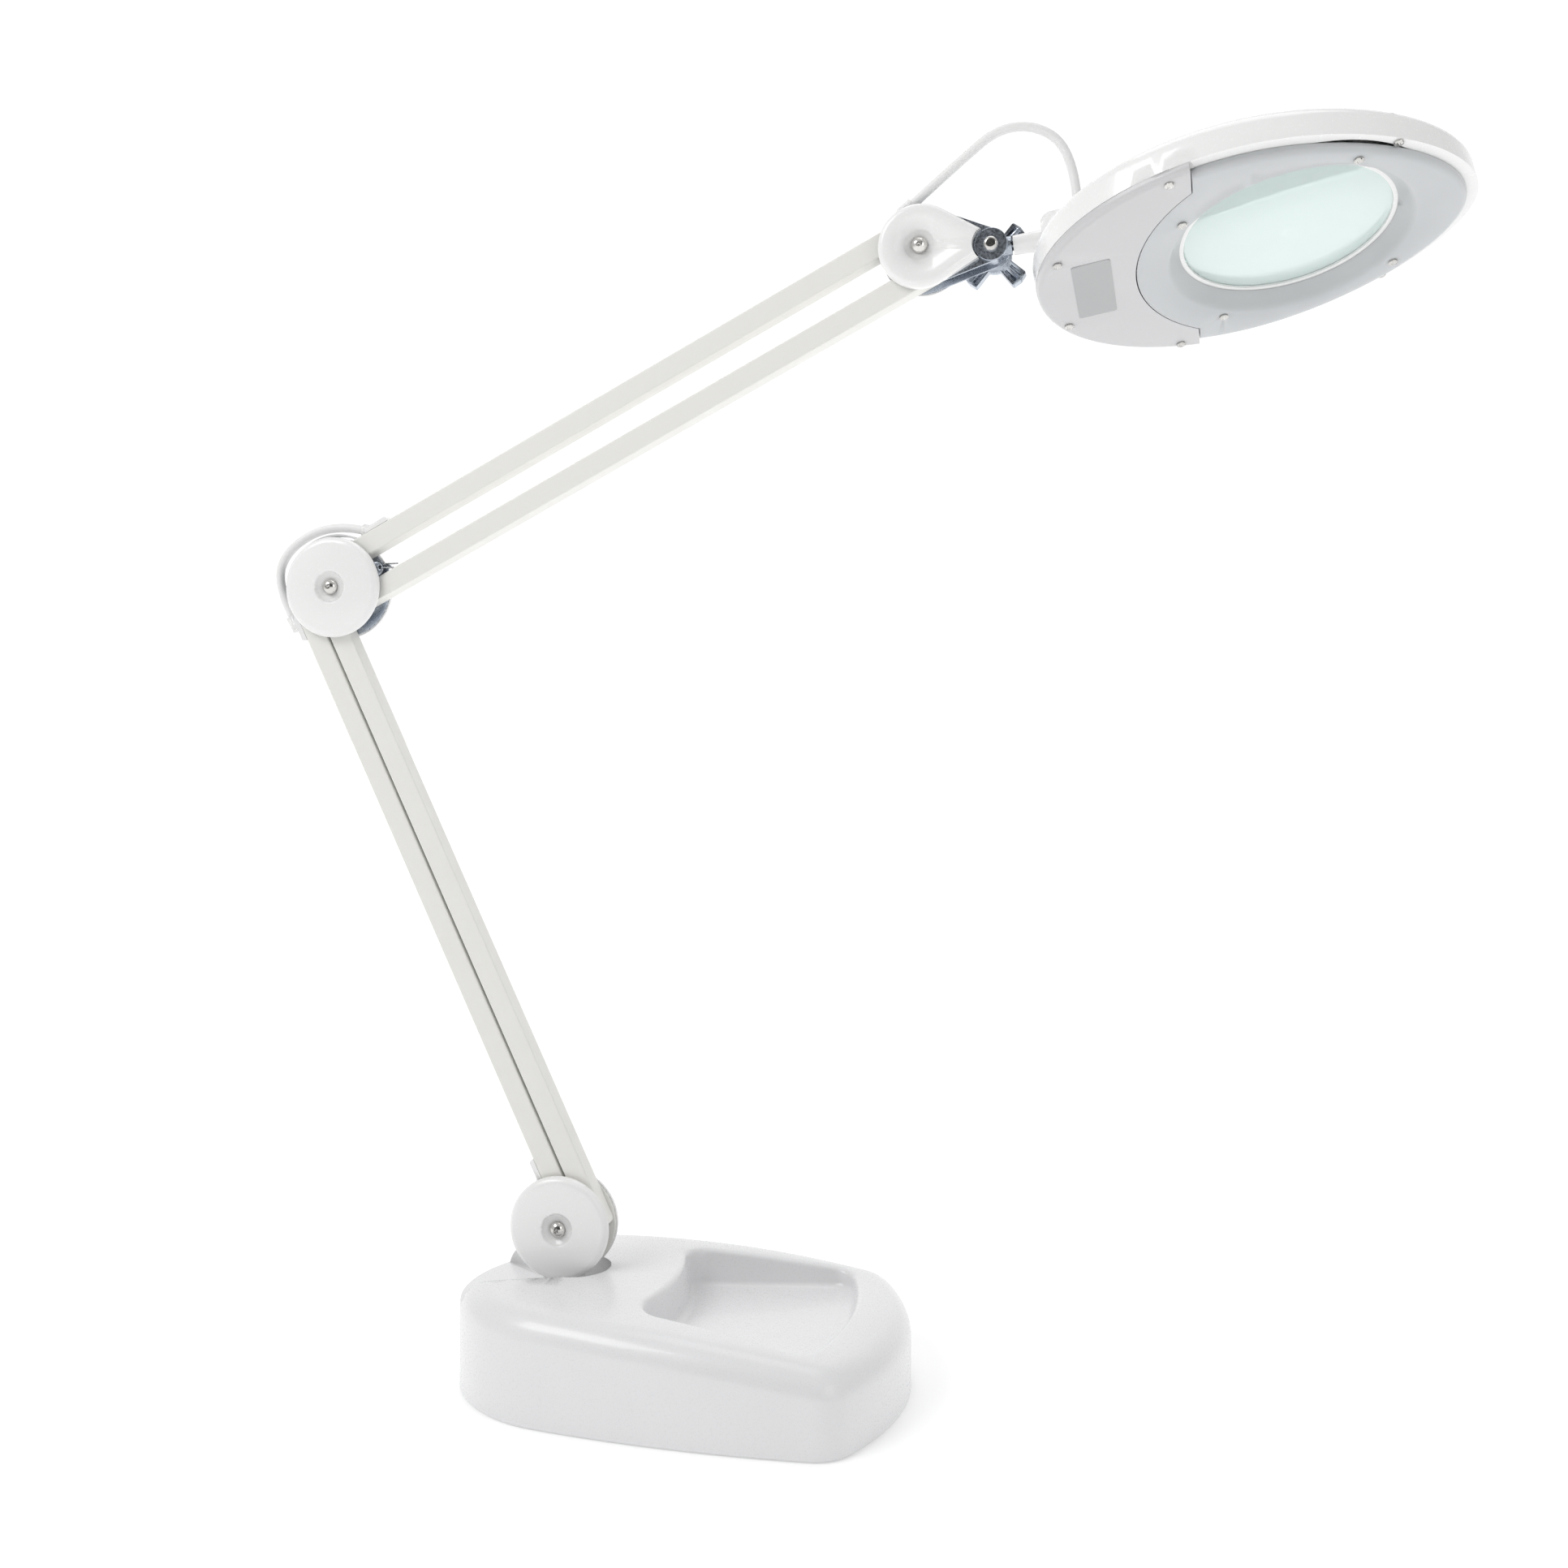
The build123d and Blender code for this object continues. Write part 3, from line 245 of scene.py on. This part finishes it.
def frosted(name, colour):
    """Frosted acrylic that lets a little light through."""
    mat, tree, shader, coords = nodes_of(name, colour)
    cloud = noise(tree, coords, 22, 3)
    tree.links.new(tint(tree, remap(tree, cloud, 0, 1), shade(colour, 0.98), shade(colour, 1.015)),
                   shader.inputs["Base Color"])
    fine = noise(tree, coords, 1400, 3)
    tree.links.new(remap(tree, fine, 0.30, 0.42), shader.inputs["Roughness"])
    shader.inputs["IOR"].default_value = 1.49
    shader.inputs["Subsurface Weight"].default_value = 0.35
    shader.inputs["Subsurface Radius"].default_value = (0.008, 0.008, 0.009)
    shader.inputs["Subsurface Scale"].default_value = 1.0
    shader.inputs["Coat Weight"].default_value = 0.25
    shader.inputs["Coat Roughness"].default_value = 0.18
    relief(tree, shader, fine, 0.000015, 0.2)
    return mat


def glass(name, colour):
    """Polished lens glass with faint dust in its gloss."""
    mat, tree, shader, coords = nodes_of(name, colour)
    shader.inputs["Transmission Weight"].default_value = 0.55
    shader.inputs["IOR"].default_value = 1.52
    dust = noise(tree, coords, 260, 6, 0.75)
    tree.links.new(remap(tree, dust, 0.0, 0.035, 0.5, 0.75), shader.inputs["Roughness"])
    return mat


def rubber(name, colour, rough=0.5):
    """Soft cord jacket with a fine matt skin."""
    mat, tree, shader, coords = nodes_of(name, colour)
    skin = noise(tree, coords, 2200, 3)
    tree.links.new(remap(tree, skin, rough - 0.06, rough + 0.08), shader.inputs["Roughness"])
    shader.inputs["Sheen Weight"].default_value = 0.08
    return mat


MATERIALS = {}


def make_materials():
    """Every finish of the lamp, made once."""
    c = bpy.context.scene.lamp_colours
    MATERIALS.update({
        "white": moulded("gloss white plastic", c.shell, 0.22, coat=0.35, strength=0.12),
        "base_white": moulded("satin base plastic", c.base, 0.30, coat=0.30, grain=1300, strength=0.3),
        "bar": painted("arm powder coat", c.bar, 0.42),
        "zinc": plated("zinc plate", c.zinc, 0.30, patch=140),
        "chromed": plated("bright chrome", (0.66, 0.65, 0.63), 0.12, patch=20),
        "spring": plated("drawn wire", (0.62, 0.63, 0.65), 0.32, brushed=(1, 1, 6)),
        "dark": rubber("foot foam", (0.05, 0.05, 0.05), 0.8),
        "iron": plated("cast ballast", (0.20, 0.20, 0.21), 0.62),
        "steelsheet": painted("bottom plate paint", (0.16, 0.16, 0.17), 0.5),
        "nylon": moulded("natural nylon", shade(c.shell, 0.95), 0.45, grain=1200),
        "cord": rubber("cord jacket", shade(c.shell, 0.96), 0.42),
        # partly painted shade: the diffuser colour is darkened for the shade under the head
        "diffuser": frosted("frosted light ring", c.diffuser),
        "glass": glass("lens glass", c.lens),
        "board": moulded("board mask", (0.80, 0.83, 0.80), 0.4),
        "led": moulded("lamp chip", (0.90, 0.78, 0.34), 0.25),
        "label": moulded("label film", (0.44, 0.445, 0.45), 0.35, grain=2000),
        # painted shade: the head cover's grey stands for the shade under the head
        "cover_painted_shade": moulded("head cover plastic, painted shade", c.cover_painted_shade, 0.34, coat=0.15, strength=0.12),
        "driver": moulded("driver board", (0.05, 0.22, 0.10), 0.45),
    })


# ------------------------------------------------------------------ mesh helpers
def only(obj):
    """Selects obj alone and makes it active."""
    bpy.ops.object.select_all(action="DESELECT")
    obj.select_set(True)
    bpy.context.view_layer.objects.active = obj


def apply_modifier(obj, kind, **settings):
    """Adds a modifier with its settings and applies it."""
    only(obj)
    mod = obj.modifiers.new(kind.title(), kind)
    for key, value in settings.items():
        setattr(mod, key, value)
    bpy.ops.object.modifier_apply(modifier=mod.name)


def finish_piece(node, edge=0.0, angle=28.0, bend=None, finish=None):
    """Welds a copy of a frame piece, rounds its edges, smooths it and puts it in place of the node."""
    source = frame["nodes"][node]
    piece = bpy.data.objects.new(f"{node}_finished", source.data.copy())
    bpy.context.scene.collection.objects.link(piece)
    only(piece)
    bpy.ops.object.mode_set(mode="EDIT")
    bpy.ops.mesh.select_all(action="SELECT")
    bpy.ops.mesh.remove_doubles(threshold=WELD)
    bpy.ops.mesh.select_all(action="DESELECT")
    bpy.ops.object.mode_set(mode="OBJECT")
    if edge > 0:
        apply_modifier(piece, "BEVEL", width=edge, segments=2, limit_method="ANGLE",
                       angle_limit=math.radians(BEVEL_ANGLE), use_clamp_overlap=True)
    bpy.ops.object.shade_smooth_by_angle(angle=math.radians(angle))
    piece.data.materials.clear()
    piece.data.materials.append(MATERIALS[finish or SLOT_OF[node]])
    if bend:
        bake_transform(piece)
    else:
        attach(piece, BODY_OF[node])
    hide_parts(node)
    return piece


class LAMP_OT_base(bpy.types.Operator):
    """Finish the base cover, its ballast, plate and foot pad"""
    bl_idname = "lamp.base"
    bl_label = "Base"

    def execute(self, context):
        finish_piece("base_cover", angle=BASE_ANGLE)
        for node in ("base_plate", "ballast", "base_pad"):
            finish_piece(node)
        return {"FINISHED"}


class LAMP_OT_arm(bpy.types.Operator):
    """Finish the four square arm tubes and their springs"""
    bl_idname = "lamp.arm"
    bl_label = "Arm bars"

    def execute(self, context):
        for node in BARS:
            finish_piece(node)
        for node in ("lower_rear_spring", "upper_low_spring"):
            finish_piece(node, angle=ROUND_ANGLE)
        low, high = (Vector(corner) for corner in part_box("balance_wires"))
        finish_piece("balance_wires", angle=ROUND_ANGLE, bend=("elbow", "upper_low", low, high))
        return {"FINISHED"}


class LAMP_OT_joints(bpy.types.Operator):
    """Finish the joint caps, side plates, pins and the moulded clips"""
    bl_idname = "lamp.joints"
    bl_label = "Joints"

    def execute(self, context):
        edge = context.scene.lamp_sizes.edge
        for node in CAPS:
            finish_piece(node, angle=CAP_ANGLE)
        for node in PLATES:
            finish_piece(node, edge if "plate_near" in node or "plate_far" in node else 0.0)
        for node in CHROMED + SMALL_SCREWS:
            finish_piece(node, angle=ROUND_ANGLE)
        for node in MOULDED:
            finish_piece(node)
        finish_piece("clamp_knob")
        return {"FINISHED"}


class LAMP_OT_head(bpy.types.Operator):
    """Finish the head shells, the light ring, the lens and the boards inside"""
    bl_idname = "lamp.head"
    bl_label = "Head"

    def execute(self, context):
        finish_piece("head_top_shell", angle=CAP_ANGLE)
        # the head cover gets the material with painted shade
        finish_piece("head_cover", angle=CAP_ANGLE, finish="cover_painted_shade")
        finish_piece("diffuser_ring", angle=CAP_ANGLE)
        finish_piece("lens", angle=ROUND_ANGLE)
        for node in ("led_board", "leds", "driver_board", "rating_label"):
            finish_piece(node)
        return {"FINISHED"}


# ------------------------------------------------------------------ cords
def smooth_line(name, route):
    """Points read from the smooth NURBS line that a cord's route controls."""
    curve = bpy.data.curves.new(name, "CURVE")
    curve.dimensions = "3D"
    curve.resolution_u = 16
    spline = curve.splines.new("NURBS")
    spline.points.add(len(route) - 1)
    for point, place in zip(spline.points, route):
        point.co = (*(Vector(place) * MM), 1)
    spline.order_u = 3
    spline.use_endpoint_u = True
    guide = bpy.data.objects.new(name, curve)
    bpy.context.scene.collection.objects.link(guide)
    bpy.context.view_layer.update()
    mesh = bpy.data.meshes.new_from_object(guide.evaluated_get(bpy.context.evaluated_depsgraph_get()))
    line = [v.co.copy() for v in mesh.vertices]
    bpy.data.objects.remove(guide)
    bpy.data.meshes.remove(mesh)
    return line


def tube_along(name, line, radius):
    """Closed round tube mesh along a smooth line."""
    curve = bpy.data.curves.new(name, "CURVE")
    curve.dimensions = "3D"
    spline = curve.splines.new("POLY")
    spline.points.add(len(line) - 1)
    for point, place in zip(spline.points, line):
        point.co = (*place, 1)
    curve.bevel_depth = radius
    curve.bevel_resolution = 6
    curve.use_fill_caps = True
    tube = bpy.data.objects.new(name, curve)
    bpy.context.scene.collection.objects.link(tube)
    only(tube)
    bpy.ops.object.convert(target="MESH")
    tube = bpy.context.view_layer.objects.active
    bpy.ops.object.shade_smooth_by_angle(angle=math.radians(CORD_ANGLE))
    tube.data.materials.clear()
    tube.data.materials.append(MATERIALS["cord"])
    return tube


# routes in millimetres
ELBOW_LOOP = [(-127.95, 0, 500.81), (-149.35, 0, 505.41), (-178.95, 0, 490.31),
              (-185.75, 0, 468.51), (-174.95, 0, 448.91)]
HEAD_LOOP = [(207.44, 0, 677.9), (232.14, 0, 698.9), (258.74, 0, 720.0),
             (287.04, 3, 714.9), (298.64, 8.5, 691.3), (299.52, 2.39, 666.92)]


class LAMP_OT_cords(bpy.types.Operator):
    """Lay the two cord loops, each in two halves"""
    bl_idname = "lamp.cords"
    bl_label = "Cord loops"

    def execute(self, context):
        diameter = context.scene.lamp_sizes.cord
        jobs = [("elbow_cord", ELBOW_LOOP, [("upper_high", "elbow"), ("elbow", "lower_rear")]),
                ("head_cord", HEAD_LOOP, [("bracket", "tilt"), ("tilt", "head")])]
        for node, points, pairs in jobs:
            line = smooth_line(node, points)
            cut = len(line) // 2
            halves = ((line[:cut + 1], pairs[0], "first"), (line[cut:], pairs[1], "second"))
            for half, (before, after), tag in halves:
                tube = tube_along(f"{node}_{tag}", half, diameter / 2)
                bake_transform(tube)
                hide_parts(node)
        return {"FINISHED"}


# ------------------------------------------------------------------ stage
def soft_box(name, place, aim, size, watts):
    """Large square area light aimed at a point."""
    data = bpy.data.lights.new(name, "AREA")
    data.shape = "RECTANGLE"
    data.size, data.size_y = size
    data.energy = watts
    lamp = bpy.data.objects.new(name, data)
    lamp.location = place
    lamp.rotation_euler = (Vector(aim) - Vector(place)).to_track_quat("-Z", "Y").to_euler()
    bpy.context.scene.collection.objects.link(lamp)
    return lamp


class LAMP_OT_stage(bpy.types.Operator):
    """Set the camera, the pale floor and the studio light"""
    bl_idname = "lamp.stage"
    bl_label = "Stage"

    def execute(self, context):
        scene = context.scene
        data = bpy.data.cameras.new("Camera")
        data.lens = scene.lamp_sizes.camera_reach
        data.sensor_width = 36
        data.shift_y = CAMERA_SHIFT
        data.clip_end = 100
        camera = bpy.data.objects.new("Camera", data)
        camera.location = CAMERA_PLACE
        camera.rotation_euler = (math.pi / 2, 0, math.radians(CAMERA_TURN))
        scene.collection.objects.link(camera)
        scene.camera = camera

        bpy.ops.object.select_all(action="DESELECT")
        bpy.ops.mesh.primitive_plane_add(size=40, location=(0, 0, 0))
        floor = context.view_layer.objects.active
        floor.name = "Floor"
        mat, tree, shader, coords = nodes_of("pale floor", (0.85, 0.85, 0.85))
        tree.links.new(remap(tree, noise(tree, coords, 3), 0.85, 0.95), shader.inputs["Roughness"])
        shader.inputs["Specular IOR Level"].default_value = 0.1
        shader.inputs["Emission Color"].default_value = (1, 1, 1, 1)
        # the floor brightens with distance until it meets the backdrop
        split = tree.nodes.new("ShaderNodeSeparateXYZ")
        tree.links.new(coords, split.inputs["Vector"])
        glow = remap(tree, split.outputs["Y"], 0.30, 0.85, 0.1, 3.0)
        tree.links.new(glow, shader.inputs["Emission Strength"])
        floor.data.materials.append(mat)
        lights = [soft_box(*row) for row in SOFT_BOXES]
        world = bpy.data.worlds.new("Studio")
        scene.world = world
        world.use_nodes = True
        tree = world.node_tree
        sky = tree.nodes["Background"]
        sky.inputs["Color"].default_value = (1, 1, 1, 1)
        where = tree.nodes.new("ShaderNodeTexCoord")
        facing = tree.nodes.new("ShaderNodeVectorMath")
        facing.operation = "DOT_PRODUCT"
        facing.inputs[1].default_value = VIEW_WAY
        tree.links.new(where.outputs["Generated"], facing.inputs[0])
        ramp = tree.nodes.new("ShaderNodeValToRGB")
        ramp.color_ramp.interpolation = "EASE"
        # dark behind the camera, a dim room at the sides and a bright backdrop
        ramp.color_ramp.elements[0].color = (ROOM_START, ROOM_START, ROOM_START, 1)
        for stop, level in ROOM_STOPS:
            ramp.color_ramp.elements.new(stop).color = (level, level, level, 1)
        ramp.color_ramp.elements[-1].color = (1, 1, 1, 1)
        tree.links.new(remap(tree, facing.outputs["Value"], 0, 1, -1, 1), ramp.inputs["Fac"])
        tree.links.new(ramp.outputs["Color"], sky.inputs["Color"])
        sky.inputs["Strength"].default_value = BACKDROP
        scene.view_settings.view_transform = "Standard"
        return {"FINISHED"}


class LAMP_PT_panel(bpy.types.Panel):
    """Lists the lamp's steps, sizes and colours"""
    bl_idname = "LAMP_PT_panel"
    bl_label = "Magnifying lamp"
    bl_space_type = "VIEW_3D"
    bl_region_type = "UI"
    bl_category = "Lamp"

    def draw(self, context):
        for group in (context.scene.lamp_sizes, context.scene.lamp_colours):
            for key in group.__annotations__:
                self.layout.prop(group, key)
        for step in STEPS:
            self.layout.operator(step.bl_idname)


STEPS = (LAMP_OT_base, LAMP_OT_arm, LAMP_OT_joints, LAMP_OT_head, LAMP_OT_cords, LAMP_OT_stage)
CLASSES = (LampColours, LampSizes, *STEPS, LAMP_PT_panel)


def register():
    for cls in CLASSES:
        bpy.utils.register_class(cls)
    bpy.types.Scene.lamp_colours = bpy.props.PointerProperty(type=LampColours)
    bpy.types.Scene.lamp_sizes = bpy.props.PointerProperty(type=LampSizes)


def unregister():
    del bpy.types.Scene.lamp_sizes
    del bpy.types.Scene.lamp_colours
    for cls in reversed(CLASSES):
        bpy.utils.unregister_class(cls)


def main():
    register()
    make_materials()
    for step in STEPS:
        group, verb = step.bl_idname.split(".")
        getattr(getattr(bpy.ops, group), verb)()


if __name__ == "__main__":
    main()
